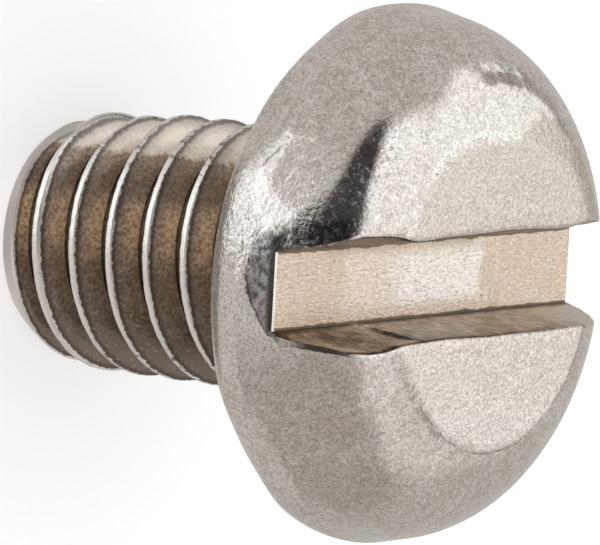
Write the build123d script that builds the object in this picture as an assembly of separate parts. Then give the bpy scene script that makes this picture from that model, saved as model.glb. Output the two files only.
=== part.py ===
from build123d import *
import math
import os

# Slotted pan head machine screw, metric coarse thread, threaded up to the head.
# The origin is the centre of the bearing face under the head. +Z points up through the
# crown, the shank hangs down -Z, and the driver slot runs along X. All sizes are in mm.

# Thread: a right-hand 60 degree profile with a flat crest
thread_pitch = 1.0
major_diameter = 5.80
flank_angle = 30.0
crest_flat = thread_pitch / 8
thread_depth = 0.6134 * thread_pitch
# Height of the crest's middle over the bearing face where it crosses the +X side
thread_phase = -0.18

# Shank under the head
shank_length = 7.93
tip_diameter = 4.78
tip_chamfer_length = 0.84
neck_diameter = 5.20
neck_length = 1.0
run_out_length = 0.8
under_head_fillet = 0.40

# Head: a rounded bearing edge, tapered side, large shoulder and nearly flat crown
head_diameter = 11.65
head_height = 3.60
bearing_edge_run = 0.45
bearing_edge_rise = 0.85
side_height = 0.60
side_taper = 13.0
shoulder_bulge = 0.48
crown_diameter = 7.11
crown_rise = 0.05

# Driver slot, open at both ends of the head, with drafted walls
slot_floor_width = 1.66
slot_depth = 1.91
slot_draft = 8.3

# How far the cutting forms run past the faces that they cross
overrun = 0.5
# How far the ridge's foot is sunk into the thread's core
ridge_embed = 0.06 * thread_pitch

major_radius = major_diameter / 2
minor_radius = major_radius - thread_depth
neck_radius = neck_diameter / 2
tip_radius = tip_diameter / 2
head_radius = head_diameter / 2
run_out_top = -neck_length
run_out_bottom = run_out_top - run_out_length


def turned(outline):
    """The solid that a closed outline, given as radius and height, sweeps round Z."""
    return revolve(Plane.XZ * make_face(outline), Axis.Z)


def head_and_core():
    """The form without its thread: head, neck, run-out cone and thread core."""
    bearing_rim = head_radius - bearing_edge_run
    side_run = side_height * math.tan(math.radians(side_taper))
    side_top = (head_radius - side_run, bearing_edge_rise + side_height)
    crown_edge = (crown_diameter / 2, head_height - crown_rise)
    crown_sphere = (crown_edge[0] ** 2 + crown_rise**2) / (2 * crown_rise)
    neck_foot = (neck_radius, -under_head_fillet)
    bearing_start = (neck_radius + under_head_fillet, 0)
    outline = [
        Line((0, -shank_length), (minor_radius, -shank_length)),
        Line((minor_radius, -shank_length), (minor_radius, run_out_bottom)),
        Line((minor_radius, run_out_bottom), (neck_radius, run_out_top)),
        Line((neck_radius, run_out_top), neck_foot),
        RadiusArc(neck_foot, bearing_start, under_head_fillet),
        Line(bearing_start, (bearing_rim, 0)),
        EllipticalCenterArc(
            (bearing_rim, bearing_edge_rise),
            bearing_edge_run,
            bearing_edge_rise,
            start_angle=270,
            arc_size=90,
        ),
        Line((head_radius, bearing_edge_rise), side_top),
        SagittaArc(side_top, crown_edge, -shoulder_bulge),
        RadiusArc(crown_edge, (0, head_height), -crown_sphere),
        Line((0, head_height), (0, -shank_length)),
    ]
    return turned(outline)


def thread_ridge():
    """The helical ridge, swept from below the tip into the neck, before its ends are shaped."""
    foot_radius = minor_radius - ridge_embed
    foot_half = crest_flat / 2 + (major_radius - foot_radius) * math.tan(math.radians(flank_angle))
    turns_down = math.ceil((shank_length + thread_phase) / thread_pitch) + 1
    start = thread_phase - turns_down * thread_pitch
    rise = run_out_top + thread_pitch / 2 - start
    path = Helix(thread_pitch, rise, foot_radius, center=(0, 0, start))
    section = make_face(
        Polyline(
            (foot_radius, start - foot_half),
            (major_radius, start - crest_flat / 2),
            (major_radius, start + crest_flat / 2),
            (foot_radius, start + foot_half),
            close=True,
        )
    )
    return sweep(Plane.XZ * section, path=path, is_frenet=True)


def at_radius(first, second, radius):
    """The point at a radius on the straight line through two points of an outline."""
    slope = (second[1] - first[1]) / (second[0] - first[0])
    return (radius, first[1] + slope * (radius - first[0]))


def ridge_envelope():
    """What bounds the ridge: the chamfered tip below and the fading run-out above."""
    outer = major_radius + overrun
    tip_edge = (tip_radius, -shank_length)
    chamfer_top = (major_radius, tip_chamfer_length - shank_length)
    fade_start = (major_radius, run_out_bottom)
    fade_end = (neck_radius - ridge_embed, run_out_top)
    outline = Polyline(
        (0, -shank_length),
        tip_edge,
        at_radius(tip_edge, chamfer_top, outer),
        at_radius(fade_start, fade_end, outer),
        at_radius(fade_start, fade_end, 0),
        close=True,
    )
    return turned(outline)


def slot_cutter():
    """The drafted slot as a prism along X, longer than the head is wide."""
    floor_height = head_height - slot_depth
    top_height = head_height + overrun
    half_floor = slot_floor_width / 2
    half_top = half_floor + (top_height - floor_height) * math.tan(math.radians(slot_draft))
    section = make_face(
        Polyline(
            (-half_floor, floor_height),
            (half_floor, floor_height),
            (half_top, top_height),
            (-half_top, top_height),
            close=True,
        )
    )
    return extrude(Plane.YZ * section, head_radius + overrun, both=True)


os.makedirs("parts", exist_ok=True)
ridge = thread_ridge() & ridge_envelope()
screw = head_and_core() + ridge - slot_cutter()
screw.label = "screw"
export_step(screw, "parts/screw.step")
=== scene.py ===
import math

import bmesh
import bpy
import numpy as np
from mathutils import Matrix, Vector, noise


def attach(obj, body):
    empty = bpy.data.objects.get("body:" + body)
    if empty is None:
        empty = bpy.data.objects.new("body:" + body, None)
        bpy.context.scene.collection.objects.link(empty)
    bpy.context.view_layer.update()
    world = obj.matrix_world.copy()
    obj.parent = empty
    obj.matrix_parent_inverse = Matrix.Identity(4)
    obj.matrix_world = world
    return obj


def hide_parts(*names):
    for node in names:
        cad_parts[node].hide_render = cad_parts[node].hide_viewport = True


# A slotted pan head machine screw, standing on the end of its shank. Sizes are in mm
# in the CAD frame: Z up the axis from the bearing face, the slot along X.
MM = 0.001
FULL_TURN = 2 * math.pi

# Head
HEAD_RADIUS = 5.825
HEAD_HEIGHT = 3.60
BEARING_EDGE_RUN = 0.45
BEARING_EDGE_RISE = 0.85
SIDE_TOP = (5.6865, 1.45)
SHOULDER_CENTRE = (3.152, 1.011)
SHOULDER_RADIUS = 2.572
# How fast the shoulder's surface rises inside its arc, where the crown covers it
SHOULDER_RISE = 0.1
CROWN_RADIUS = 3.555
CROWN_RISE = 0.05
CREASE_SOFTNESS = 0.004
# A shallow conical flat beside the crown on the +Y half: where it starts, its azimuths and slope
FLAT_START, FLAT_END = 3.14, 3.60
FLAT_MIDDLE, FLAT_SPREAD = 82.0, 52.0
FLAT_SLOPE = math.tan(math.radians(12))

# Driver slot, and a step across its lower wall, left of which the wall is set back
SLOT_FLOOR = 1.69
SLOT_HALF_WIDTH = 0.83
FLOOR_RADIUS = SHOULDER_CENTRE[0] + math.sqrt(SHOULDER_RADIUS**2 - (SLOT_FLOOR - SHOULDER_CENTRE[1]) ** 2)
SLOT_REACH = math.sqrt(FLOOR_RADIUS**2 - SLOT_HALF_WIDTH**2)
STEP_X = -2.62
STEP_EDGE = 0.04
STEP_DEPTH = 0.05
STEP_FADE = (-5.4, -4.4)
# The step's depth grows and shrinks between these fractions of the way down the wall
STEP_GROWS, STEP_SHRINKS = (0, 0.35), (1, 0.5)

# The lips' distance from the slot's middle plane, as (x, y) from end to end
LIP_REACH = 5.57
UPPER_LIP = [
    (-5.57, 0.83), (-5.50, 0.90), (-5.36, 0.95), (-5.00, 1.03), (-4.48, 1.22), (-4.0, 1.24),
    (-3.65, 1.22), (-3.14, 1.10), (-2.83, 1.085), (-1.91, 1.13), (-0.86, 1.14), (0.20, 1.17),
    (1.05, 1.165), (1.95, 1.13), (2.70, 1.12), (3.18, 1.20), (3.71, 1.23), (4.3, 1.18),
    (4.9, 1.07), (5.36, 0.96), (5.50, 0.90), (5.57, 0.83),
]
LOWER_LIP = [
    (-5.57, 0.83), (-5.52, 0.93), (-5.43, 0.99), (-5.20, 1.05), (-4.94, 1.10), (-4.65, 1.20),
    (-4.21, 1.22), (-3.86, 1.18), (-3.45, 1.06), (-3.08, 1.03), (-2.47, 1.01), (-1.71, 0.99),
    (-0.30, 1.03), (0.69, 1.02), (1.66, 1.03), (2.65, 1.02), (3.40, 1.00), (4.0, 1.03),
    (4.8, 1.03), (5.2, 0.95), (5.45, 0.88), (5.57, 0.83),
]
# Points along a lip, how many of them are averaged, and over what length from its ends that fades
LIP_POINTS = 1501
LIP_BLUR = 41
LIP_BLUR_FADE = 0.25
# Rounds of smoothing across the lip, and the rows to each side that they reach
LIP_ROUNDS = 6
LIP_ROWS = 3

# Shank and thread
SHANK_LENGTH = 7.93
PITCH = 1.0
MAJOR_RADIUS = 2.90
THREAD_DEPTH = 0.6134
FLANK_SLOPE = math.tan(math.radians(30))
CREST_HALF = 0.0625
CREST_ROUNDING = 0.02
THREAD_PHASE = -0.18
TIP_RADIUS = 2.39
TIP_CHAMFER = 0.84
NECK_RADIUS = 2.60
RUN_OUT_TOP = -1.0
RUN_OUT_BOTTOM = -1.8
FILLET = 0.40

# Where the bearing edge is flattened, as (azimuth, half width in degrees, depth)
FLATTENED = [(131.0, 33.0, 0.27), (222.0, 20.0, 0.19)]
FLATTENED_HEIGHT = (1.3, 0.7)
# How far the +X end of the head is pushed in, and between which x and z that begins
END_DENT = 0.11
DENT_X, DENT_Z = (4.6, 5.6), (0.6, 1.4)
# The first crests' wear at their +Y side: its depth, and limits and soft edges in z and azimuth
CREST_WEAR = 0.17
CREST_WEAR_Z, CREST_WEAR_TURN = (-7.3, -5.7, 0.9), (55, 125, 50)
CREST_WEAR_RADIUS = (2.55, 2.88)
# Small dents along all crests
CREST_DENT = 0.02
CREST_BAND = (MAJOR_RADIUS - 0.07, MAJOR_RADIUS - 0.03)
# A small torn groove beside the crown: azimuths, radius of its bottom, half width and depth
TEAR_TURN = (78.0, 95.0, 3)
TEAR_RADIUS = 4.52
TEAR_HALF_WIDTH = 0.27
TEAR_DEPTH = 0.045
TEAR_FLOOR = 2.4
# Relief over the whole head and in one hammered area: depths, and its limits in azimuth and z
WAVE_DEPTH, PEBBLE_DEPTH, HAMMERED_DEPTH = 0.008, 0.001, 0.005
HAMMERED_TURN, HAMMERED_Z = (112, 190, 20), (0.5, 2.3, 0.5)
RELIEF_STARTS = (0.3, 0.9)

# Nicks: small flats at random, and large ones as (place, depth, lean of the flat's normal)
NICK_SEED = 7
NICK_COUNT = 60
NICK_DEPTHS = (0.0005, 0.003)
NICK_LEAN = 0.02
NICK_REACH = 1.2
NICK_FLOOR = 0.6
LARGE_NICKS = [
    ((-5.13, 2.56, 1.30), 0.030, (0.0, 0.0, 0.085)),
    ((-5.38, 1.72, 1.45), 0.012, (0.0, 0.04, 0.05)),
    ((-4.45, 3.60, 1.15), 0.010, (0.0, 0.0, 0.04)),
]

# Mesh density: columns and rows, as counts or as fractions of the way
LOBE_COLUMNS = 221
FLOOR_ROWS = 17
SHANK_COLUMNS = 240
SHOULDER_ROWS, SIDE_ROWS, EDGE_ROWS, FILLET_ROWS = 4, 9, 13, 7
OUTER_SAMPLES = 160
OUTER_ROWS = np.concatenate([np.linspace(0, 0.96, 58), [0.975, 0.985, 0.993, 1]])
WALL_ROWS = np.array([0, 0.02, 0.045, 0.08, 0.13, 0.22, 0.32, 0.43, 0.55, 0.67, 0.79, 0.9, 1])
PITCH_ROWS = [0.045, 0.0625, 0.085, 0.14, 0.21, 0.29, 0.37, 0.415]
TIP_ROWS = np.array([1, 0.8, 0.5, 0.2, 0])
BEARING_RING = 5.0
INNER_RINGS = [(4.2, 0), (3.5, 0)]
MERGE_DISTANCE, SHORTEST_EDGE = 1e-5, 1e-6
SHARP_ANGLE = math.radians(40)

# Camera at the photo's viewpoint
CAMERA_TARGET = (-0.777, -0.130, -1.070)
CAMERA_DISTANCE = 160.065
CAMERA_AZIMUTH = 172.785
CAMERA_ELEVATION = 35.205
CAMERA_ROLL = 97.22
CAMERA_LENS = 446.15
CAMERA_SENSOR = 36
CAMERA_CLIP = (0.01, 10)

# The pale floor: radius in metres, sides, tone, and the glow that only the camera sees
STAGE_RADIUS = 0.6
STAGE_SIDES = 128
STAGE_TONE = 0.66
STAGE_GLOW = 0.44


def smooth_step(low, high, value):
    """0 below low, 1 above high, and an S-curve between, for numbers or arrays."""
    t = np.clip((value - low) / (high - low), 0, 1)
    return t * t * (3 - 2 * t)


def soft_min(first, second, softness):
    """The lower of two values with a rounded change-over."""
    gap = np.abs(first - second)
    return np.minimum(first, second) - np.maximum(softness - gap, 0) ** 2 / (4 * softness)


def outer_height(x, y):
    """Height of the shoulder and crown over a plan position."""
    radius = np.hypot(x, y)
    centre_r, centre_z = SHOULDER_CENTRE
    run = np.clip(radius - centre_r, 0, SHOULDER_RADIUS)
    shoulder = centre_z + np.sqrt(SHOULDER_RADIUS**2 - run**2) + np.maximum(centre_r - radius, 0) * SHOULDER_RISE
    crown = HEAD_HEIGHT - CROWN_RISE * (radius / CROWN_RADIUS) ** 2
    off_middle = np.abs(np.degrees(np.arctan2(y, x)) - FLAT_MIDDLE)
    start = FLAT_START + (FLAT_END - FLAT_START) * smooth_step(0, FLAT_SPREAD, off_middle)
    flat = HEAD_HEIGHT - CROWN_RISE * (start / CROWN_RADIUS) ** 2 - FLAT_SLOPE * (radius - start)
    return soft_min(soft_min(shoulder, crown, CREASE_SOFTNESS), flat, CREASE_SOFTNESS)


def resample(points, fractions):
    """Points at fractions of the length of a polyline."""
    steps = np.linalg.norm(np.diff(points, axis=0), axis=1)
    length = np.concatenate([[0], np.cumsum(steps)])
    wanted = np.asarray(fractions) * length[-1]
    return np.column_stack([np.interp(wanted, length, points[:, k]) for k in range(3)])


def on_surface(x, y):
    """Points of the head's outer surface over plan positions."""
    return np.column_stack([x, y, outer_height(x, y)])


def turned(radius, height, angle):
    """Points at radii and heights, at one angle round the axis."""
    return np.column_stack([radius * math.cos(angle), radius * math.sin(angle), height])


def column_fractions():
    """Fractions along the slot, closer together towards its ends."""
    t = np.linspace(0, 1, LOBE_COLUMNS)
    return 0.55 * t + 0.45 * (0.5 - 0.5 * np.cos(np.pi * t))


def floor_row(y):
    """The slot floor's points at one y, from the -X end to the +X end."""
    x = -SLOT_REACH + 2 * SLOT_REACH * column_fractions()
    return np.column_stack([x, np.full_like(x, y), np.full_like(x, SLOT_FLOOR)])


def lip_points(side, table, fractions):
    """One lip on the head's outer surface, at fractions of its length."""
    fine = np.linspace(-1, 1, LIP_POINTS)
    fine = np.sign(fine) * (1 - (1 - np.abs(fine)) ** 2) * SLOT_REACH
    lip_x = np.array([x for x, _ in table]) * SLOT_REACH / LIP_REACH
    lip_y = np.interp(fine, lip_x, [y for _, y in table])
    kernel = np.hanning(LIP_BLUR)
    blurred = np.convolve(np.pad(lip_y, LIP_BLUR // 2, mode="edge"), kernel / kernel.sum(), mode="valid")
    lip_y = lip_y + (blurred - lip_y) * smooth_step(0, LIP_BLUR_FADE, SLOT_REACH - np.abs(fine))
    lip_y[0] = lip_y[-1] = SLOT_HALF_WIDTH
    return resample(on_surface(fine, side * lip_y), fractions)


def set_back(wall):
    """Moves a column of the lower wall outwards where it lies beyond the step."""
    beyond = smooth_step(STEP_X + STEP_EDGE, STEP_X - STEP_EDGE, wall[:, 0]) * smooth_step(*STEP_FADE, wall[:, 0])
    wall[:, 1] -= STEP_DEPTH * beyond * smooth_step(*STEP_GROWS, WALL_ROWS) * smooth_step(*STEP_SHRINKS, WALL_ROWS)


def lobe_sheet(side, table):
    """One half of the head above the slot floor: its outer surface and its slot wall."""
    fractions = column_fractions()
    corner = math.asin(SLOT_HALF_WIDTH / FLOOR_RADIUS)
    turn = math.pi - corner - fractions * (math.pi - 2 * corner)
    ring = FLOOR_RADIUS * np.column_stack([np.cos(turn), side * np.sin(turn)])
    lip = lip_points(side, table, fractions)
    floor = floor_row(side * SLOT_HALF_WIDTH)
    along = np.linspace(0, 1, OUTER_SAMPLES)[:, None]
    sheet = []
    for k in range(LOBE_COLUMNS):
        plan = ring[k] + (lip[k, :2] - ring[k]) * along
        outer = resample(on_surface(plan[:, 0], plan[:, 1]), OUTER_ROWS)
        wall = lip[k] + (floor[k] - lip[k]) * WALL_ROWS[:, None]
        if side < 0:
            set_back(wall)
        sheet.append(np.vstack([outer, wall[1:]]))
    sheet = np.array(sheet)
    lip_row = len(OUTER_ROWS) - 1
    rounded = slice(lip_row - LIP_ROWS, lip_row + LIP_ROWS)
    for _ in range(LIP_ROUNDS):
        inner = sheet[:, rounded.start - 1 : rounded.stop + 1]
        sheet[:, rounded] = (inner[:, :-2] + 2 * inner[:, 1:-1] + inner[:, 2:]) / 4
    return sheet[:, : lip_row + 1], sheet[:, lip_row:]


def lower_head_rows():
    """(radius, height) from the slot floor's ring down the side and round the bearing edge."""
    rows = [(FLOOR_RADIUS, SLOT_FLOOR)]
    side_r, side_z = SIDE_TOP
    for z in np.linspace(SLOT_FLOOR, side_z, SHOULDER_ROWS)[1:]:
        run = math.sqrt(SHOULDER_RADIUS**2 - (z - SHOULDER_CENTRE[1]) ** 2)
        rows.append((SHOULDER_CENTRE[0] + run, z))
    for t in np.linspace(0, 1, SIDE_ROWS)[1:]:
        rows.append((side_r + (HEAD_RADIUS - side_r) * t, side_z + (BEARING_EDGE_RISE - side_z) * t))
    for t in np.linspace(0, math.pi / 2, EDGE_ROWS)[1:]:
        rows.append((HEAD_RADIUS - BEARING_EDGE_RUN * (1 - math.cos(t)), BEARING_EDGE_RISE * (1 - math.sin(t))))
    rows.append((BEARING_RING, 0))
    return rows


def ridge_radius(distance):
    """Thread radius at an axial distance from the crest's middle, within half a pitch."""
    drop = (np.abs(distance) - CREST_HALF) / FLANK_SLOPE
    rounded = (drop + CREST_ROUNDING) ** 2 / (4 * CREST_ROUNDING)
    rounded = np.where(drop < -CREST_ROUNDING, 0, np.where(drop > CREST_ROUNDING, drop, rounded))
    return MAJOR_RADIUS - np.minimum(rounded, THREAD_DEPTH)


def shank_radius(turn, z):
    """Radius of the shank's surface at an angle and height, with chamfer, run-out and neck."""
    along = z - THREAD_PHASE - PITCH * turn / FULL_TURN
    distance = (along / PITCH + 0.5) % 1.0 - 0.5
    ridge = ridge_radius(distance * PITCH)
    chamfer = TIP_RADIUS + (z + SHANK_LENGTH) * (MAJOR_RADIUS - TIP_RADIUS) / TIP_CHAMFER
    rise = (z - RUN_OUT_BOTTOM) / (RUN_OUT_TOP - RUN_OUT_BOTTOM)
    minor = MAJOR_RADIUS - THREAD_DEPTH
    fade = MAJOR_RADIUS + rise * (NECK_RADIUS - MAJOR_RADIUS)
    core = np.clip(minor + rise * (NECK_RADIUS - minor), minor, NECK_RADIUS)
    ridge = np.minimum(np.minimum(ridge, chamfer), np.maximum(fade, NECK_RADIUS))
    return np.where(z >= RUN_OUT_TOP, NECK_RADIUS, np.maximum(ridge, np.minimum(core, NECK_RADIUS)))


def shank_sheet(angles):
    """The threaded shank as a helical grid whose rows follow the crest and flanks."""
    fractions = sorted([0.0, 0.5] + PITCH_ROWS + [1 - row for row in PITCH_ROWS])
    turns = range(math.floor(-SHANK_LENGTH) - 3, 3)
    base = np.array([n + fraction for n in turns for fraction in fractions]) * PITCH + THREAD_PHASE
    sheet = []
    for angle in angles:
        z = np.clip(base + PITCH * angle / FULL_TURN, -SHANK_LENGTH, -FILLET)
        sheet.append(turned(shank_radius(angle, z), z, angle))
    return np.array(sheet)


def angle_round(point):
    """A point's azimuth in radians, from 0 to a full turn."""
    return math.atan2(point[1], point[0]) % FULL_TURN


class Shell:
    """Collects grids of points into one mesh, each with a material index."""

    def __init__(self):
        self.points = []
        self.faces = []
        self.materials = []

    def grid(self, points, material):
        """Adds the quads of an array of columns by rows by three coordinates."""
        columns, rows = points.shape[:2]
        start = len(self.points)
        self.points.extend(points.reshape(-1, 3).tolist())
        for i in range(columns - 1):
            for j in range(rows - 1):
                a = start + i * rows + j
                self.faces.append((a, a + rows, a + rows + 1, a + 1))
                self.materials.append(material)

    def strip(self, first, second, material):
        """Joins two closed rings, each sorted by angle, that have different numbers of points."""
        start = len(self.points)
        self.points.extend(first.tolist() + second.tolist())
        count, other = len(first), len(second)
        angle, angle_other = ([angle_round(p) for p in ring] + [FULL_TURN] for ring in (first, second))
        i = j = 0
        while i < count or j < other:
            a, b = start + i % count, start + count + j % other
            if j == other or (i < count and angle[i + 1] <= angle_other[j + 1]):
                self.faces.append((a, start + (i + 1) % count, b))
                i += 1
            else:
                self.faces.append((a, start + count + (j + 1) % other, b))
                j += 1
            self.materials.append(material)

    def mesh(self, name):
        """The merged mesh in mm, with outward normals."""
        mesh = bpy.data.meshes.new(name)
        mesh.from_pydata(self.points, [], self.faces)
        mesh.polygons.foreach_set("material_index", self.materials)
        form = bmesh.new()
        form.from_mesh(mesh)
        bmesh.ops.remove_doubles(form, verts=form.verts, dist=MERGE_DISTANCE)
        bmesh.ops.dissolve_degenerate(form, edges=form.edges, dist=SHORTEST_EDGE)
        bmesh.ops.recalc_face_normals(form, faces=form.faces)
        form.to_mesh(mesh)
        form.free()
        return mesh


HEAD, FLOOR, WALL, THREAD = range(4)


def add_head(shell):
    """Adds the slot and the outside of the head, and returns the columns down its side."""
    upper, upper_wall = lobe_sheet(1, UPPER_LIP)
    lower, lower_wall = lobe_sheet(-1, LOWER_LIP)
    for sheet, material in ((upper, HEAD), (lower, HEAD), (upper_wall, WALL), (lower_wall, WALL)):
        shell.grid(sheet, material)
    rows = [floor_row(y) for y in np.linspace(-SLOT_HALF_WIDTH, SLOT_HALF_WIDTH, FLOOR_ROWS)]
    shell.grid(np.array(rows), FLOOR)
    ends = [np.array([row[end] for row in rows]) for end in (-1, 0)]
    ring = np.vstack([ends[0], upper[::-1, 0][1:], ends[1][::-1][1:], lower[:, 0][1:]])
    radius, height = np.array(lower_head_rows()).T
    columns = []
    for point in ring:
        column = turned(radius, height, math.atan2(point[1], point[0]))
        pulled = np.hypot(*point[:2]) / FLOOR_RADIUS
        column[:, :2] *= 1 + (pulled - 1) * smooth_step(BEARING_EDGE_RISE, SLOT_FLOOR, column[:, 2:])
        column[0] = point
        columns.append(column)
    shell.grid(np.array(columns), HEAD)
    return columns


def add_under_head(shell, rim, angles):
    """Adds the bearing face and fillet, joined to the last points of the columns round the rim."""
    bend = np.linspace(0, math.pi / 2, FILLET_ROWS)
    fillet = [(NECK_RADIUS + FILLET * (1 - math.sin(t)), -FILLET * (1 - math.cos(t))) for t in bend]
    radius, height = np.array(INNER_RINGS + fillet).T
    sheet = np.array([turned(radius, height, angle) for angle in angles])
    shell.grid(sheet, HEAD)
    order = np.argsort([angle_round(column[-1]) for column in rim])
    shell.strip(np.array([rim[k][-1] for k in order]), sheet[:-1, 0], HEAD)


def add_tip(shell, angles):
    """Adds the flat end of the shank."""
    tip = []
    for angle in angles:
        radius = shank_radius(angle, np.array(-SHANK_LENGTH)) * TIP_ROWS
        tip.append(turned(radius, np.full(len(TIP_ROWS), -SHANK_LENGTH), angle))
    shell.grid(np.array(tip), THREAD)


def screw_mesh():
    """The whole screw as one closed mesh."""
    shell = Shell()
    columns = add_head(shell)
    angles = np.linspace(0, FULL_TURN, SHANK_COLUMNS + 1)
    add_under_head(shell, columns[:-1], angles)
    shell.grid(shank_sheet(angles), THREAD)
    add_tip(shell, angles)
    return shell.mesh("screw_form")


def within(value, low, high, edge):
    """1 between low and high and 0 outside, with soft edges."""
    return smooth_step(low - edge / 2, low + edge / 2, value) * smooth_step(-high - edge / 2, -high + edge / 2, -value)


def noise_at(points, scale, shift=0.0):
    """Smooth noise from -1 to 1 at each point, with a number of waves to the mm."""
    return np.array([noise.noise(Vector(point)) for point in points * scale + shift])


def nick_cuts(points, normals):
    """How deep small flats, struck into the head at odd angles, cut at each point."""
    chance = np.random.default_rng(NICK_SEED)
    outside = np.flatnonzero(points[:, 2] > NICK_FLOOR)
    depth = np.zeros(len(points))
    centres = [points[k] for k in chance.choice(outside, NICK_COUNT)]
    sizes = chance.uniform(*NICK_DEPTHS, NICK_COUNT).tolist()
    leans = chance.normal(0, NICK_LEAN, (NICK_COUNT, 3)).tolist()
    for place, size, lean in LARGE_NICKS:
        centres.append(np.array(place))
        sizes.append(size)
        leans.append(lean)
    for centre, size, lean in zip(centres, sizes, leans):
        distance = np.linalg.norm(points - centre, axis=1)
        nearest = distance.argmin()
        facing = normals[nearest] + lean
        facing /= np.linalg.norm(facing)
        cut = (points - points[nearest]) @ facing + size
        depth = np.maximum(depth, np.where(distance < NICK_REACH, np.clip(cut, 0, 2 * size), 0))
    return depth


def head_wear(points, normals, turn, pebble, fine):
    """Waves, pebbles, nicks, the tear and the flattened edge: how deep they go at each point."""
    x, y, z = points.T
    radius = np.hypot(x, y)
    wave = 0.5 - 0.5 * noise_at(points, 0.9, 3.1)
    hammered = within(turn, *HAMMERED_TURN) * within(z, *HAMMERED_Z)
    tear = np.clip(1 - np.abs(radius + 0.12 * fine - TEAR_RADIUS) / TEAR_HALF_WIDTH, 0, 1)
    tear *= within(turn + 3 * fine, *TEAR_TURN) * (z > TEAR_FLOOR)
    depth = WAVE_DEPTH * wave + (PEBBLE_DEPTH + HAMMERED_DEPTH * hammered) * pebble
    depth += TEAR_DEPTH * tear * (0.8 + 0.4 * fine) + nick_cuts(points, normals)
    in_slot = (np.abs(y) < 1.0) & (radius < FLOOR_RADIUS - 0.02) & (z < HEAD_HEIGHT - 0.2)
    depth = np.where(in_slot, 0, depth * smooth_step(*RELIEF_STARTS, z))
    outward = (normals[:, 0] * x + normals[:, 1] * y) / np.maximum(radius, 1e-6)
    for middle, half, flattened in FLATTENED:
        place = smooth_step(half, 0, np.abs(turn - middle)) * smooth_step(*FLATTENED_HEIGHT, z)
        depth += flattened * np.clip(outward, 0, 1) * place
    return depth


def thread_wear(points, turn, pebble, fine):
    """Dents along the crests and the blunted first ones: how deep they go at each point."""
    radius = np.hypot(points[:, 0], points[:, 1])
    dents = CREST_DENT * np.clip(0.7 * pebble - 0.25 + 0.5 * fine, 0, 1) * smooth_step(*CREST_BAND, radius)
    blunt = CREST_WEAR * within(points[:, 2], *CREST_WEAR_Z) * within(turn, *CREST_WEAR_TURN)
    return dents + blunt * smooth_step(*CREST_WEAR_RADIUS, radius)


def worn(mesh):
    """Gives the surface its waves, nicks and wear, all inwards."""
    points = np.empty(len(mesh.vertices) * 3)
    normals = np.empty_like(points)
    mesh.vertices.foreach_get("co", points)
    mesh.vertices.foreach_get("normal", normals)
    points, normals = points.reshape(-1, 3), normals.reshape(-1, 3)
    turn = np.degrees(np.arctan2(points[:, 1], points[:, 0])) % 360
    pebble = 0.5 - 0.5 * noise_at(points, 3.6)
    fine = noise_at(points, 7.0)
    head = head_wear(points, normals, turn, pebble, fine)
    depth = np.where(points[:, 2] > 0, head, thread_wear(points, turn, pebble, fine))
    moved = points - normals * depth[:, None]
    moved[:, 0] -= END_DENT * smooth_step(*DENT_X, points[:, 0]) * smooth_step(*DENT_Z, points[:, 2])
    mesh.vertices.foreach_set("co", moved.ravel())
    mesh.update()
    return mesh


def colour(red, green, blue):
    return (red, green, blue, 1.0)


class Nodes:
    """Short calls that add shader nodes to one tree."""

    def __init__(self, tree):
        self.tree = tree
        tree.nodes.clear()

    def add(self, kind, inputs=(), **settings):
        node = self.tree.nodes.new(kind)
        for name, value in settings.items():
            setattr(node, name, value)
        for name, value in dict(inputs).items():
            self.feed(node.inputs[name], value)
        return node

    def feed(self, socket, value):
        if isinstance(value, bpy.types.NodeSocket):
            self.tree.links.new(value, socket)
        else:
            socket.default_value = value

    def math(self, operation, *values):
        node = self.add("ShaderNodeMath", operation=operation)
        for socket, value in zip(node.inputs, values):
            self.feed(socket, value)
        return node.outputs[0]

    def product(self, first, *others):
        for other in others:
            first = self.math("MULTIPLY", first, other)
        return first

    def total(self, first, *others):
        for other in others:
            first = self.math("ADD", first, other)
        return first

    def curve(self, value, points, low, high):
        """Straight lines through points, both axes within the same low and high limits."""
        span = high - low
        node = self.add("ShaderNodeFloatCurve", {"Value": self.math("DIVIDE", self.math("SUBTRACT", value, low), span)})
        line = node.mapping.curves[0]
        while len(line.points) < len(points):
            line.points.new(0.5, 0.5)
        for point, (x, y) in zip(line.points, points):
            point.location = ((x - low) / span, (y - low) / span)
            point.handle_type = "VECTOR"
        node.mapping.update()
        return self.total(self.product(node.outputs[0], span), low)

    def ramp(self, value, low, high, start=0.0, end=1.0, kind="SMOOTHSTEP"):
        """A change from start to end as the value goes from low to high."""
        inputs = {"Value": value, "From Min": low, "From Max": high, "To Min": start, "To Max": end}
        return self.add("ShaderNodeMapRange", inputs, interpolation_type=kind).outputs["Result"]

    def mix(self, factor, first, second):
        """A colour between two, by factor."""
        node = self.add("ShaderNodeMix", data_type="RGBA")
        for socket, value in zip((node.inputs[0], node.inputs[6], node.inputs[7]), (factor, first, second)):
            self.feed(socket, value)
        return node.outputs[2]

    def scaled(self, vector, x, y, z, turn=(0, 0, 0)):
        inputs = {"Vector": vector, "Scale": (x, y, z), "Rotation": turn}
        return self.add("ShaderNodeMapping", inputs).outputs[0]

    def bump(self, height, distance, normal=None):
        """Relief of a height from 0 to 1 over a distance in mm, on top of another relief."""
        inputs = {"Strength": 1.0, "Distance": distance * MM, "Height": height}
        if normal is not None:
            inputs["Normal"] = normal
        return self.add("ShaderNodeBump", inputs).outputs[0]

    def noise(self, vector, scale, detail, roughness):
        inputs = {"Vector": vector, "Scale": scale, "Detail": detail, "Roughness": roughness}
        return self.add("ShaderNodeTexNoise", inputs).outputs["Fac"]


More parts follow.
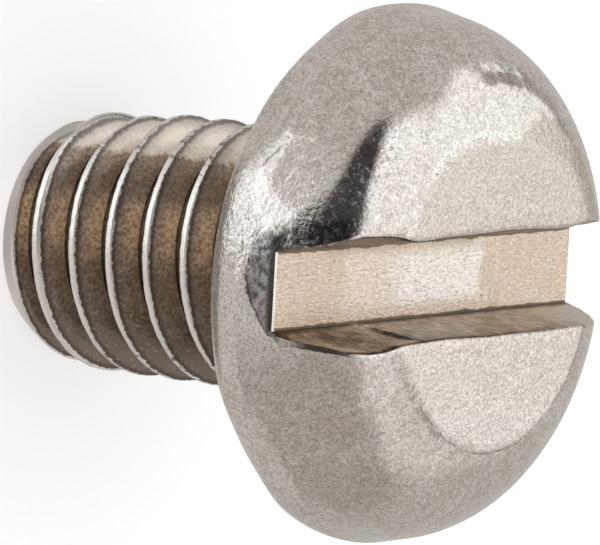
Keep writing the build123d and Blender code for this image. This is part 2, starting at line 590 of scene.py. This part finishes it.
class Metal(Nodes):
    """A metal's nodes, with named measures of the place on the screw, in mm and degrees."""

    def __init__(self, name, noises):
        self.material = bpy.data.materials.new(name)
        self.material.use_nodes = True
        super().__init__(self.material.node_tree)
        self.shader = self.add("ShaderNodeBsdfPrincipled", {"Metallic": 1.0})
        self.add("ShaderNodeOutputMaterial", {"Surface": self.shader.outputs[0]})
        place = self.scaled(self.add("ShaderNodeTexCoord").outputs["Object"], 1 / MM, 1 / MM, 1 / MM)
        x, y, z = self.add("ShaderNodeSeparateXYZ", {"Vector": place}).outputs
        flat = self.add("ShaderNodeVectorMath", {0: place, 1: (1, 1, 0)}, operation="MULTIPLY").outputs[0]
        radius = self.add("ShaderNodeVectorMath", {0: flat}, operation="LENGTH").outputs["Value"]
        turn = self.math("DEGREES", self.math("ARCTAN2", y, x))
        self.measures = {"x": x, "y": y, "z": z, "radius": radius, "turn": turn}
        for measure, (stretch, *settings) in noises.items():
            vector = self.scaled(place, *stretch) if stretch else place
            self.measures[measure] = self.noise(vector, *settings)

    def __getitem__(self, name):
        """A measure, or its size where the name stands between bars."""
        value = self.measures[name.strip("|")]
        return self.math("ABSOLUTE", value) if name.startswith("|") else value

    def __setitem__(self, name, value):
        self.measures[name] = value

    def sums(self, table):
        """Adds measures that are a constant plus other measures times factors."""
        for name, (value, factors) in table.items():
            for other, factor in factors.items():
                value = self.total(value, self.product(self[other], factor))
            self[name] = value

    def area(self, limits):
        """The product of limits: a soft one is a measure, where it is 0 and where it is 1."""
        parts = []
        for limit in limits:
            if isinstance(limit, tuple):
                limit = self.ramp(self[limit[0]], *limit[1:])
            elif isinstance(limit, str):
                limit = self[limit]
            parts.append(limit)
        return self.product(*parts)

    def coated(self, base, coats):
        """A colour under coats, each with the area that it covers, the lowest one first."""
        if isinstance(base, tuple):
            base = colour(*base)
        for limits, tone in coats:
            base = self.mix(self.area(limits), base, colour(*tone))
        return base

    def finish(self, base, rough, reliefs):
        """Sets colour, roughness and reliefs, each a height and a depth in mm, and returns the material."""
        self.feed(self.shader.inputs["Base Color"], base)
        self.feed(self.shader.inputs["Roughness"], rough)
        normal = None
        for height, depth in reliefs:
            normal = self.bump(height, depth, normal)
        self.feed(self.shader.inputs["Normal"], normal)
        return self.material


# In the tables below, a noise has a stretch or None, then its scale, detail and roughness. A sum
# has a constant and the factors of other measures. A coat has its limits and its colour, and a
# limit has a measure, the two values between which it changes, and from what to what if that
# isn't 0 to 1. A bare number in the limits is a strength.

# Head: noises, and squares of the distance of one measure from a value
HEAD_NOISES = {
    "cloud": (None, 1.3, 4, 0.6),
    "blotch": (None, 5.5, 3, 0.7),
    "grain": (None, 16, 3, 0.9),
    "pebble": (None, 7.5, 2, 0.6),
    "fleck": (None, 9, 2, 0.7),
}
HEAD_SQUARES = {"stain_side": ("y", 0.45), "facet_rise": ("z", 0.94)}
HEAD_SUMS = {
    "wobble": (-0.125, {"blotch": 0.25}),
    # Outwards from the crown's edge, and from the groove, chips and ridge along it
    "beyond": (0.0, {"radius": 1.0, "wobble": 1.0, "crown_edge": -1.0}),
    "beyond_beige": (0.0, {"beyond": 1.0, "spread": -1.0}),
    "from_groove": (-0.02, {"beyond": 1.0}),
    "from_chips": (-0.05, {"beyond": 1.0}),
    "from_ridge": (-0.08, {"beyond": 1.0}),
    # Upwards from the foot of the stain at the slot's end, and from the bearing edge
    "over_foot": (-1.07, {"z": 1.0, "wobble": 0.8, "stain_side": -0.30}),
    "ragged_z": (0.0, {"z": 1.0, "wobble": 1.0}),
    # Across the upper lip and across the line under the lower lip
    "over_lip": (-3.0, {"y": 1.0, "wobble": 1.5, "x": -0.30}),
    "from_lip_line": (2.0862, {"y": 1.0, "wobble": 0.3, "x": 0.19}),
    # Round the axis from the struck facet's curved edge, and from the crease beside it
    "past_facet": (-139.306, {"turn": 1.0, "wobble": 6.0, "z": -15.1, "facet_rise": 5.87}),
    "from_crease": (-168.4, {"turn": 1.0, "wobble": 14.0, "z": 16.0}),
    "from_scuff": (-0.86, {"z": 1.0, "wobble": 1.0}),
    # Outwards from the axis, with the tear's frayed edge
    "torn": (0.0, {"radius": 1.0, "wobble": 0.5}),
}
CROWN_SPREAD = [("x", 0.2, 1.6, 0.0, 0.75), ("y", 0.0, 0.4)]
CROWN_AREA = [("beyond_beige", -0.20, 0.04, 1.0, 0.0), ("z", 3.2, 3.4)]
ON_CROWN = ("z", 3.35, 3.45)
FACET_HEIGHT = [("z", 0.80, 0.95), ("z", 2.05, 1.75)]
FACET_RIM = [("past_facet", -0.25, 0.25), ("past_facet", 14.0, 7.0), *FACET_HEIGHT]
HAMMERED_AREA = [("x", -4.4, -5.0), ("z", 2.6, 2.0), ("y", 0.0, 0.9), ("y", 2.7, 1.8, 0.25, 1.0)]
# Side of the head: clean patches, blotches, a duller -Y half and a rubbed -X end
SIDE_TONE = (0.86, 0.82, 0.78)
SIDE_COATS = [
    ([("cloud", 0.35, 0.65)], (0.97, 0.95, 0.925)),
    ([("blotch", 0.35, 0.62, 0.6, 0.0)], (0.56, 0.52, 0.48)),
    ([("y", -3.4, -5.2, 0.0, 0.3)], (0.55, 0.52, 0.49)),
    ([("x", -5.0, -5.5), ("y", -3.0, -1.5), 0.6], (1.0, 0.99, 0.98)),
]
# Crown: warmer on its -Y half, paler at that half's far side, with blotches
CROWN_TONE = (0.78, 0.73, 0.655)
CROWN_COATS = [
    ([("y", 0.8, -0.8)], (0.90, 0.84, 0.78)),
    ([("y", -2.2, -2.8, 0.0, 0.7)], (0.97, 0.95, 0.92)),
    ([("blotch", 0.35, 0.65, 0.5, 0.0)], (0.60, 0.55, 0.50)),
]
BARE_STEEL = (1.0, 1.0, 0.98)
HEAD_COATS = [
    # The bright ridge at the crown's edge and the scuffed band over the facet
    ([("|from_ridge|", 0.03, 0.08, 1.0, 0.0), ON_CROWN, ("y", 2.2, 2.8), ("x", 0.8, 0.3), 0.8], BARE_STEEL),
    (
        [("|from_scuff|", 0.03, 0.09, 1.0, 0.0), ("turn", 125, 128), ("turn", 150, 147), ("cloud", 0.45, 0.52)],
        BARE_STEEL,
    ),
    # Painted shade at the bottom of the tear
    (
        [("turn", 82.0, 83.0), ("turn", 96.0, 95.0), ("torn", 4.27, 4.30), ("torn", 4.57, 4.53), 0.8],
        (0.50, 0.46, 0.42),
    ),
    # Dark and bright grain, and pits
    ([("grain", 0.34, 0.58, 0.9, 0.0)], (0.44, 0.41, 0.38)),
    ([("grain", 0.54, 0.68, 0.0, 0.9)], (1.0, 0.99, 0.98)),
    ([("fleck", 0.64, 0.70), 0.5], (0.28, 0.26, 0.24)),
    # Painted shade on the facet's face, and its bright rim
    ([("past_facet", 0.25, -0.25), ("past_facet", -16.0, -4.0), *FACET_HEIGHT, 0.45], (0.66, 0.62, 0.59)),
    ([*FACET_RIM, 0.6], (1.0, 1.0, 1.0)),
    # The burr along the tear
    (
        [
            ("turn", 77.0, 78.0), ("turn", 95.0, 94.0), ("torn", 4.53, 4.57), ("torn", 4.80, 4.76),
            ("pebble", 0.42, 0.52),
        ],
        BARE_STEEL,
    ),
    # Painted shade in the groove round the crown
    (
        [
            ("|from_groove|", 0.01, 0.04, 1.0, 0.0), ON_CROWN, ("y", 0.6, -0.6), ("x", -3.0, -2.4),
            ("blotch", 0.38, 0.56, 0.0, 0.8),
        ],
        (0.22, 0.20, 0.18),
    ),
    # Painted shade in the crease beside the facet
    (
        [("|from_crease|", 0.2, 0.9, 1.0, 0.0), ("z", 0.85, 0.95), ("z", 1.30, 1.15), ("grain", 0.40, 0.52), 0.8],
        (0.16, 0.15, 0.145),
    ),
    # Painted shade: the dark line under the lower lip
    (
        [("|from_lip_line|", 0.05, 0.08, 1.0, 0.0), ("x", -5.50, -5.2), ("x", -4.35, -4.70), ("z", 1.7, 1.75), 0.95],
        (0.06, 0.055, 0.055),
    ),
    # The chipped edge of the crown
    (
        [
            ("|from_chips|", 0.06, 0.24, 1.0, 0.0), ON_CROWN, ("y", -1.2, -1.7), ("x", -0.9, -1.5),
            ("pebble", 0.48, 0.56), 0.7,
        ],
        (0.34, 0.32, 0.30),
    ),
]
# The stain round the slot's -X end, its outline and its edge along the slot
STAIN_PLACE = [("x", -5.35, -5.45), ("y", 1.3, 1.05), ("z", 1.95, 1.75)]
STAIN_AREA = [*STAIN_PLACE, ("over_foot", -0.02, 0.08), 0.85]
STAIN_TONE = (0.07, 0.07, 0.075)
STAIN_COATS = [([("blotch", 0.38, 0.62)], (0.46, 0.47, 0.48))]
OUTLINE_AREA = [*STAIN_PLACE, ("|over_foot|", 0.015, 0.045, 1.0, 0.0), ("y", 0.6, 0.2), ("y", -0.98, -0.90), 0.85]
EDGE_AREA = [*STAIN_PLACE, ("ragged_z", 1.50, 1.62), ("y", -0.92, -0.80), 0.9]
EDGE_TONE = (0.05, 0.05, 0.05)
# Painted reflection: the dark streak, carried on in black along the upper lip
DARK_STREAK_REFLECTION_COATS = [
    (
        [
            ("over_lip", 0.14, -0.06), ("y", 0.84, 0.90), ("x", -4.5, -4.75), ("z", 1.35, 1.55),
            ("pebble", 0.60, 0.46, 0.25, 0.75),
        ],
        (0.05, 0.05, 0.055),
    ),
]


def head_steel():
    """Tumbled steel: a mottled warm grey with fine grain and dark pits, beige on the crown, with painted shade in the
    groove, crease, tear and facet and under the lower lip, and a painted reflection of a dark streak along the upper
    lip.
    """
    metal = Metal("head_steel", HEAD_NOISES)
    off_middle = metal.math("ABSOLUTE", metal.math("SUBTRACT", metal["turn"], FLAT_MIDDLE))
    metal["crown_edge"] = metal.ramp(off_middle, 0, FLAT_SPREAD, FLAT_START, CROWN_RADIUS)
    metal["spread"] = metal.area(CROWN_SPREAD)
    for name, (measure, middle) in HEAD_SQUARES.items():
        distance = metal.math("SUBTRACT", metal[measure], middle)
        metal[name] = metal.product(distance, distance)
    metal.sums(HEAD_SUMS)
    crown = metal.area(CROWN_AREA)
    hammered = metal.area(HAMMERED_AREA)

    base = metal.mix(crown, metal.coated(SIDE_TONE, SIDE_COATS), metal.coated(CROWN_TONE, CROWN_COATS))
    base = metal.coated(base, HEAD_COATS)
    base = metal.mix(metal.area(STAIN_AREA), base, metal.coated(STAIN_TONE, STAIN_COATS))
    # The painted reflection of the dark streak along the upper lip
    base = metal.coated(base, DARK_STREAK_REFLECTION_COATS)
    edge = metal.math("MAXIMUM", metal.area(OUTLINE_AREA), metal.area(EDGE_AREA))
    base = metal.mix(edge, base, colour(*EDGE_TONE))

    rough = metal.total(
        metal.ramp(metal["cloud"], 0.3, 0.7, 0.07, 0.12),
        metal.product(crown, 0.15),
        metal.ramp(metal["fleck"], 0.56, 0.63, 0.0, 0.2),
        metal.product(hammered, 0.04),
    )
    smoother = metal.math("SUBTRACT", 1.0, metal.product(metal.area(FACET_RIM), 0.5))
    reliefs = [
        (metal.product(metal["pebble"], metal.total(0.08, metal.product(hammered, smoother))), 0.022),
        (metal.product(metal["blotch"], metal.total(crown, 0.1)), 0.02),
        (metal["grain"], 0.0015),
    ]
    return metal.finish(base, rough, reliefs)


# Slot floor
FLOOR_NOISES = {
    "streak": ((1.0, 9, 1), 1.8, 3, 0.6),
    "cross": ((6, 0.8, 1), 1.2, 3, 0.6),
    "cloud": (None, 2.2, 3, 0.6),
    "grain": ((0.5, 1.2, 1), 16, 3, 0.8),
    "fleck": ((0.7, 1.3, 1), 9, 2, 0.7),
    "dash": ((0.5, 3.0, 1), 7, 2, 0.6),
}
FLOOR_SUMS = {
    "off_middle": (0.0, {"|y|": 1.0, "cloud": 0.5}),
    "frayed_x": (-0.6, {"x": 1.0, "cloud": 1.2}),
    "under_lip": (0.0, {"y": 1.0, "streak": 0.15}),
    "to_wall": (-0.06, {"|y|": 1.0, "cloud": 0.12}),
}
# Painted reflection: the pale area along the middle, and where it is almost white
FLOOR_REFLECTION_AREA = [("frayed_x", -3.3, -2.7), ("frayed_x", 1.95, 2.25, 1.0, 0.0), ("y", -0.62, -0.45, 0.35, 1.0)]
FLOOR_REFLECTION_WHITE_AREA = [("frayed_x", -1.6, -0.6), ("off_middle", 0.6, 0.95, 1.0, 0.0), 0.55]
FLOOR_REFLECTION_STREAKS = [("streak", 0.3, 0.5, 0.55, 1.0)]
FLOOR_TONE = (0.70, 0.58, 0.465)
FLOOR_COATS = [
    ([("cross", 0.3, 0.7)], (0.79, 0.67, 0.55)),
    ([("x", -4.2, -5.0, 0.0, 0.5)], (0.78, 0.65, 0.55)),
    ([("streak", 0.3, 0.6, 0.45, 0.0)], (0.55, 0.45, 0.36)),
    # Painted reflection along the middle of the floor
    (["pale"], (0.97, 0.96, 0.94)),
    ([("grain", 0.34, 0.58, 0.7, 0.0)], (0.50, 0.40, 0.32)),
    ([("grain", 0.54, 0.68, 0.0, 0.7)], (1.0, 0.96, 0.90)),
    # Dashes along the slot, dark flecks and the bright edge at the -X end
    ([("dash", 0.60, 0.68), ("x", 2.4, 1.8), 0.45], (0.36, 0.29, 0.22)),
    ([("fleck", 0.66, 0.70), 0.7], (0.20, 0.16, 0.12)),
    ([("x", -5.47, -5.50)], (0.93, 0.89, 0.83)),
    # Painted shade and a painted reflection of the dark upper wall under the upper lip, and painted shade along both
    # walls
    ([("under_lip", 0.62, 0.88), ("x", -4.2, -3.4), ("x", 2.2, 1.4), 0.65], (0.42, 0.34, 0.26)),
    ([("to_wall", 0.755, 0.79), ("x", -5.50, -5.44), 0.9], (0.13, 0.095, 0.06)),
]


def slot_floor_steel():
    """The slot floor: beige, paler in its middle by a painted reflection, with painted shade along the walls and fine
    streaks along it.
    """
    metal = Metal("slot_floor_steel", FLOOR_NOISES)
    metal.sums(FLOOR_SUMS)
    strength = metal.total(0.4, metal.area(FLOOR_REFLECTION_WHITE_AREA))
    # Painted reflection: pale along the floor's middle, almost white in part
    metal["pale"] = metal.product(metal.area(FLOOR_REFLECTION_AREA), strength, metal.area(FLOOR_REFLECTION_STREAKS))
    base = metal.coated(FLOOR_TONE, FLOOR_COATS)
    return metal.finish(base, 0.28, [(metal["streak"], 0.006), (metal["grain"], 0.006)])


# Slot walls
WALL_NOISES = {
    "streak": ((5, 1, 0.7, (0, math.radians(50), 0)), 2.2, 4, 0.6),
    "grain": (None, 11, 3, 0.7),
    "rub": (None, 2.4, 4, 0.6),
}
WALL_SUMS = {
    "from_step": (-STEP_X, {"x": 1.0}),
    "over_floor": (-SLOT_FLOOR, {"z": 1.0, "rub": 0.3}),
}
AT_STEP = ("|from_step|", 0.05, 0.35, 1.0, 0.0)
# The wall right of the step, and left of it
WALL_TONE = (0.27, 0.21, 0.155)
WALL_COATS = [
    ([("streak", 0.38, 0.62)], (0.74, 0.66, 0.58)),
    ([("rub", 0.47, 0.57, 0.0, 0.65)], (0.22, 0.165, 0.12)),
]
SET_BACK_TONE = (0.36, 0.28, 0.20)
SET_BACK_COATS = [([("rub", 0.4, 0.6)], (0.74, 0.62, 0.49))]
SET_BACK_AREA = [("from_step", 0.03, -0.03)]
BOTH_WALL_COATS = [
    ([("x", 2.0, 5.0)], (0.66, 0.61, 0.56)),
    # Painted shade: the whole upper wall darker, under the upper lip
    ([("y", 0.5, 0.8, 0.0, 0.85)], (0.20, 0.16, 0.11)),
    ([("grain", 0.60, 0.68)], (0.12, 0.09, 0.07)),
    # Painted shade in the step's hollow and along the wall's foot at the floor, and bright specks at the step's foot
    ([AT_STEP, ("rub", 0.42, 0.50), ("y", 0.0, -0.1), 0.7], (0.15, 0.105, 0.07)),
    ([("over_floor", 0.25, 0.42, 0.8, 0.0)], (0.13, 0.095, 0.06)),
    ([AT_STEP, ("grain", 0.50, 0.54), ("z", 2.2, 2.0)], (1.0, 0.97, 0.92)),
]


def slot_wall_steel():
    """The slot walls: browned, with diagonal cutting streaks and dark specks, and painted shade on the upper wall, in
    the step's hollow and along the foot.
    """
    metal = Metal("slot_wall_steel", WALL_NOISES)
    metal.sums(WALL_SUMS)
    behind = metal.coated(SET_BACK_TONE, SET_BACK_COATS)
    base = metal.mix(metal.area(SET_BACK_AREA), metal.coated(WALL_TONE, WALL_COATS), behind)
    base = metal.coated(base, BOTH_WALL_COATS)
    return metal.finish(base, 0.3, [(metal["streak"], 0.01), (metal["rub"], 0.03)])


# Thread
THREAD_NOISES = {
    "mottle": (None, 3.0, 5, 0.65),
    "grain": (None, 12, 3, 0.7),
    "ragged": (None, 7, 4, 0.7),
}
# What widens the bright crests: towards the tip, at both sides, and where they are blunted
CREST_WIDER = [("z", -5.9, -6.3, 0.0, 0.04)]
# Narrower towards both sides, which shapes the crests' painted highlight
CREST_NARROWER = [("|y|", 0.8, 2.2, 0.0, -0.035)]
CREST_BLUNTED = [("z", -5.25, -6.15), ("turn", 150, 100), ("turn", 30, 80), CREST_WEAR]
THREAD_SUMS = {
    # Outwards from the crests, which the chamfer cuts lower, and upwards over the thread's side
    "under": (-0.065, {"ragged": 0.13, "wider": 1.0, "radius": 1.0, "crest_radius": -1.0}),
    "level": (0.0, {"y": 1.0, "mottle": 0.3}),
}
CREST_AREA = [("under", -0.055, -0.04)]
GROOVE_TONE = (0.56, 0.46, 0.37)
GROOVE_COATS = [
    ([("mottle", 0.35, 0.65)], (0.74, 0.62, 0.51)),
    # Painted light and shade from the middle upwards: bronze, dull and pale bands
    ([("level", 0.1, 0.4), ("level", 1.35, 1.15), ("radius", 2.72, 2.5), 0.6], (0.80, 0.64, 0.48)),
    ([("level", 1.3, 1.5), ("level", 2.28, 2.20), 0.6], (0.36, 0.31, 0.27)),
    ([("level", 2.22, 2.32), 0.95], (1.0, 0.94, 0.87)),
    # Painted shade from the middle downwards, darker still towards the bottom
    ([("level", 0.15, -0.3, 0.0, 0.5)], (0.32, 0.27, 0.25)),
    ([("level", -0.9, -2.0, 0.0, 0.8)], (0.17, 0.145, 0.13)),
    # Outer flanks, grain, and painted shade: the dark line beside each crest and the bottom of the groove
    ([("radius", 2.58, 2.84, 0.0, 0.45)], (0.24, 0.20, 0.18)),
    ([("grain", 0.34, 0.60, 0.8, 0.0), ("level", 2.15, 2.35, 1.0, 0.2)], (0.24, 0.195, 0.155)),
    ([("grain", 0.58, 0.70, 0.0, 0.35)], (0.90, 0.80, 0.68)),
    ([("under", -0.16, -0.09, 0.0, 0.65)], (0.08, 0.075, 0.07)),
    ([("radius", 2.345, 2.30, 0.0, 0.9)], (0.04, 0.03, 0.02)),
]
# The crests, worn bare, with a painted highlight that makes them brightest in the middle of the side, and the chamfer
# at the end
CREST_TONE = (0.45, 0.43, 0.40)
CREST_COATS = [([("y", 1.9, 2.5, 1.0, 0.7), ("y", -1.2, -2.2, 1.0, 0.75)], (1.0, 0.995, 0.985))]
END_AREA = ["crest", ("z", -7.0, -7.15)]
END_COATS = [(["end", ("y", 0.9, 1.9), 0.5], (0.42, 0.40, 0.38))]


def thread_steel():
    """The thread: bright worn crests and chamfer over browned grooves, with a painted highlight on the crests and
    painted light and shade over the grooves.
    """
    metal = Metal("thread_steel", THREAD_NOISES)
    chamfer = (-SHANK_LENGTH, TIP_CHAMFER - SHANK_LENGTH, TIP_RADIUS, MAJOR_RADIUS)
    metal["crest_radius"] = metal.ramp(metal["z"], *chamfer, "LINEAR")
    metal["wider"] = metal.total(*[metal.area(area) for area in (CREST_WIDER, CREST_NARROWER, CREST_BLUNTED)])
    metal.sums(THREAD_SUMS)
    metal["crest"] = metal.area(CREST_AREA)
    metal["end"] = metal.area(END_AREA)
    groove = metal.coated(GROOVE_TONE, GROOVE_COATS)
    base = metal.mix(metal["crest"], groove, metal.coated(CREST_TONE, CREST_COATS))
    base = metal.coated(base, END_COATS)
    rough = metal.total(0.30, metal.product(metal["end"], 0.15))
    return metal.finish(base, rough, [(metal["grain"], 0.006), (metal["mottle"], 0.02)])


# The light tent that the metal reflects, as patches of one tone: azimuth and elevation of
# the middle, half width, half height and edge softness, all in degrees, and a colour
TENT_BASE = (0.585, 0.549, 0.513)
TENT = [
    ((0, 80, 180, 14, 6), (1.02, 1.01, 0.99)),
    ((250, 20, 45, 42, 10), (0.46, 0.42, 0.39)),
    ((318, 50, 34, 19, 8), (0.78, 0.74, 0.70)),
    ((285, 62, 25, 12, 6), (0.78, 0.74, 0.70)),
    ((142, -42, 28, 20, 8), (1.08, 1.07, 1.06)),
    ((0, -82, 180, 14, 5), (0.25, 0.23, 0.21)),
    ((147, 10, 24, 22, 6), (0.64, 0.61, 0.58)),
    ((150, -14, 30, 7.5, 2), (1.18, 1.16, 1.14)),
    ((60, 62, 60, 18, 4), (1.14, 1.12, 1.10)),
    ((17, 41, 31, 19, 3), (1.14, 1.12, 1.09)),
    ((12, 10, 16, 8, 5), (0.42, 0.40, 0.38)),
]
# A dark strip in the tent, between a lower and an upper edge, as (azimuth, elevation), and
# the limits of both angles
STRIP_TONE = (0.06, 0.057, 0.06)
STRIP_EDGE = 1.5
STRIP_LIMITS = (-90.0, 360.0)
STRIP_LOW = [
    (0, 44), (84, 44), (90, 37), (98, 34), (111, 34), (119, 34.5), (126, 35), (133, 34), (141, 32),
    (147, 29), (154, 20), (161, 7), (165, -1), (168, -3), (176, 3), (203, 5), (207, 20), (360, 44),
]
STRIP_HIGH = [
    (0, 36), (84, 36), (88, 42), (93, 47), (100, 54), (107, 57.5), (115, 61), (120, 64),
    (124, 67), (130, 69), (166, 69), (171, 14), (203, 14), (207, 4), (360, 36),
]


def tent_tone(nodes, azimuth, elevation):
    """The light tent's colour in a direction."""
    tone = colour(*TENT_BASE)
    for (middle, height, half_width, half_height, edge), patch in TENT:
        across = nodes.math("WRAP", nodes.math("SUBTRACT", azimuth, float(middle)), 180.0, -180.0)
        up = nodes.math("SUBTRACT", elevation, float(height))
        masks = [
            nodes.ramp(nodes.math("ABSOLUTE", value), half - edge, half + edge, 1.0, 0.0)
            for value, half in ((across, half_width), (up, half_height))
        ]
        tone = nodes.mix(nodes.product(*masks), tone, colour(*patch))
    round_azimuth = nodes.math("WRAP", azimuth, 360.0, 0.0)
    above = nodes.math("SUBTRACT", elevation, nodes.curve(round_azimuth, STRIP_LOW, *STRIP_LIMITS))
    below = nodes.math("SUBTRACT", nodes.curve(round_azimuth, STRIP_HIGH, *STRIP_LIMITS), elevation)
    strip = nodes.product(nodes.ramp(above, -STRIP_EDGE, STRIP_EDGE), nodes.ramp(below, -STRIP_EDGE, STRIP_EDGE))
    return nodes.mix(strip, tone, colour(*STRIP_TONE))


def build_world():
    """White for the eye and for matt surfaces, and the light tent in reflections."""
    world = bpy.data.worlds.new("studio")
    bpy.context.scene.world = world
    world.use_nodes = True
    nodes = Nodes(world.node_tree)
    direction = nodes.add("ShaderNodeTexCoord").outputs["Generated"]
    x, y, z = nodes.add("ShaderNodeSeparateXYZ", {"Vector": direction}).outputs
    azimuth = nodes.math("DEGREES", nodes.math("ARCTAN2", y, x))
    elevation = nodes.math("DEGREES", nodes.math("ARCSINE", z))
    glossy = nodes.add("ShaderNodeLightPath").outputs["Is Glossy Ray"]
    shown = nodes.mix(glossy, colour(1, 1, 1), tent_tone(nodes, azimuth, elevation))
    background = nodes.add("ShaderNodeBackground", {"Color": shown, "Strength": 1.0})
    nodes.add("ShaderNodeOutputWorld", {"Surface": background.outputs[0]})


def floor_material():
    """Matt and pale, with a glow that only the camera sees."""
    material = bpy.data.materials.new("floor")
    material.use_nodes = True
    nodes = Nodes(material.node_tree)
    diffuse = nodes.add("ShaderNodeBsdfDiffuse", {"Color": colour(STAGE_TONE, STAGE_TONE, STAGE_TONE)})
    seen = nodes.add("ShaderNodeLightPath").outputs["Is Camera Ray"]
    glow = nodes.add("ShaderNodeEmission", {"Color": colour(1, 1, 1), "Strength": nodes.product(seen, STAGE_GLOW)})
    both = nodes.add("ShaderNodeAddShader", {0: diffuse.outputs[0], 1: glow.outputs[0]})
    nodes.add("ShaderNodeOutputMaterial", {"Surface": both.outputs[0]})
    return material


def build_floor():
    """A pale floor under the end of the shank."""
    mesh = bpy.data.meshes.new("floor")
    form = bmesh.new()
    bmesh.ops.create_circle(form, cap_ends=True, segments=STAGE_SIDES, radius=STAGE_RADIUS)
    form.to_mesh(mesh)
    form.free()
    floor = bpy.data.objects.new("floor", mesh)
    floor.location.z = -SHANK_LENGTH * MM
    bpy.context.scene.collection.objects.link(floor)
    floor.visible_glossy = False
    mesh.materials.append(floor_material())


def build_camera():
    """The camera at the photo's viewpoint, rolled so that the screw lies on its side."""
    azimuth, elevation = math.radians(CAMERA_AZIMUTH), math.radians(CAMERA_ELEVATION)
    level = Vector((-math.sin(azimuth), math.cos(azimuth), 0))
    ahead = Vector((math.cos(azimuth), math.sin(azimuth), 0))
    back = ahead * math.cos(elevation) + Vector((0, 0, math.sin(elevation)))
    turn = Matrix.Rotation(math.radians(CAMERA_ROLL), 3, back)
    axes = Matrix((turn @ level, turn @ back.cross(level), back)).transposed()
    data = bpy.data.cameras.new("camera")
    data.lens = CAMERA_LENS
    data.sensor_width = CAMERA_SENSOR
    data.clip_start, data.clip_end = CAMERA_CLIP
    camera = bpy.data.objects.new("camera", data)
    place = (Vector(CAMERA_TARGET) + back * CAMERA_DISTANCE) * MM
    camera.matrix_world = Matrix.Translation(place) @ axes.to_4x4()
    bpy.context.scene.collection.objects.link(camera)
    bpy.context.scene.camera = camera


def build_screw():
    """The screw, in metres, with its four metals, in place of the CAD solid."""
    form = worn(screw_mesh())
    form.transform(Matrix.Scale(MM, 4))
    for make in (head_steel, slot_floor_steel, slot_wall_steel, thread_steel):
        form.materials.append(make())
    form.shade_smooth()
    form.set_sharp_from_angle(angle=SHARP_ANGLE)
    screw = bpy.data.objects.new("machine_screw", form)
    bpy.context.scene.collection.objects.link(screw)
    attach(screw, "root")
    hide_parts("screw")


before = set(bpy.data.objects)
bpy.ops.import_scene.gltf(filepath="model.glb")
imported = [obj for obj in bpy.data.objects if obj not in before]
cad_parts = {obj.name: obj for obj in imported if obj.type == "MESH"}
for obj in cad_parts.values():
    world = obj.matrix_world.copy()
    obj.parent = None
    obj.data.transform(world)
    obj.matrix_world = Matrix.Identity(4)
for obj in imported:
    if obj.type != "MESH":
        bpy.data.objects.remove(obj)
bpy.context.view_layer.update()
build_camera()
build_world()
build_floor()
build_screw()
bpy.context.scene.view_settings.view_transform = "Standard"
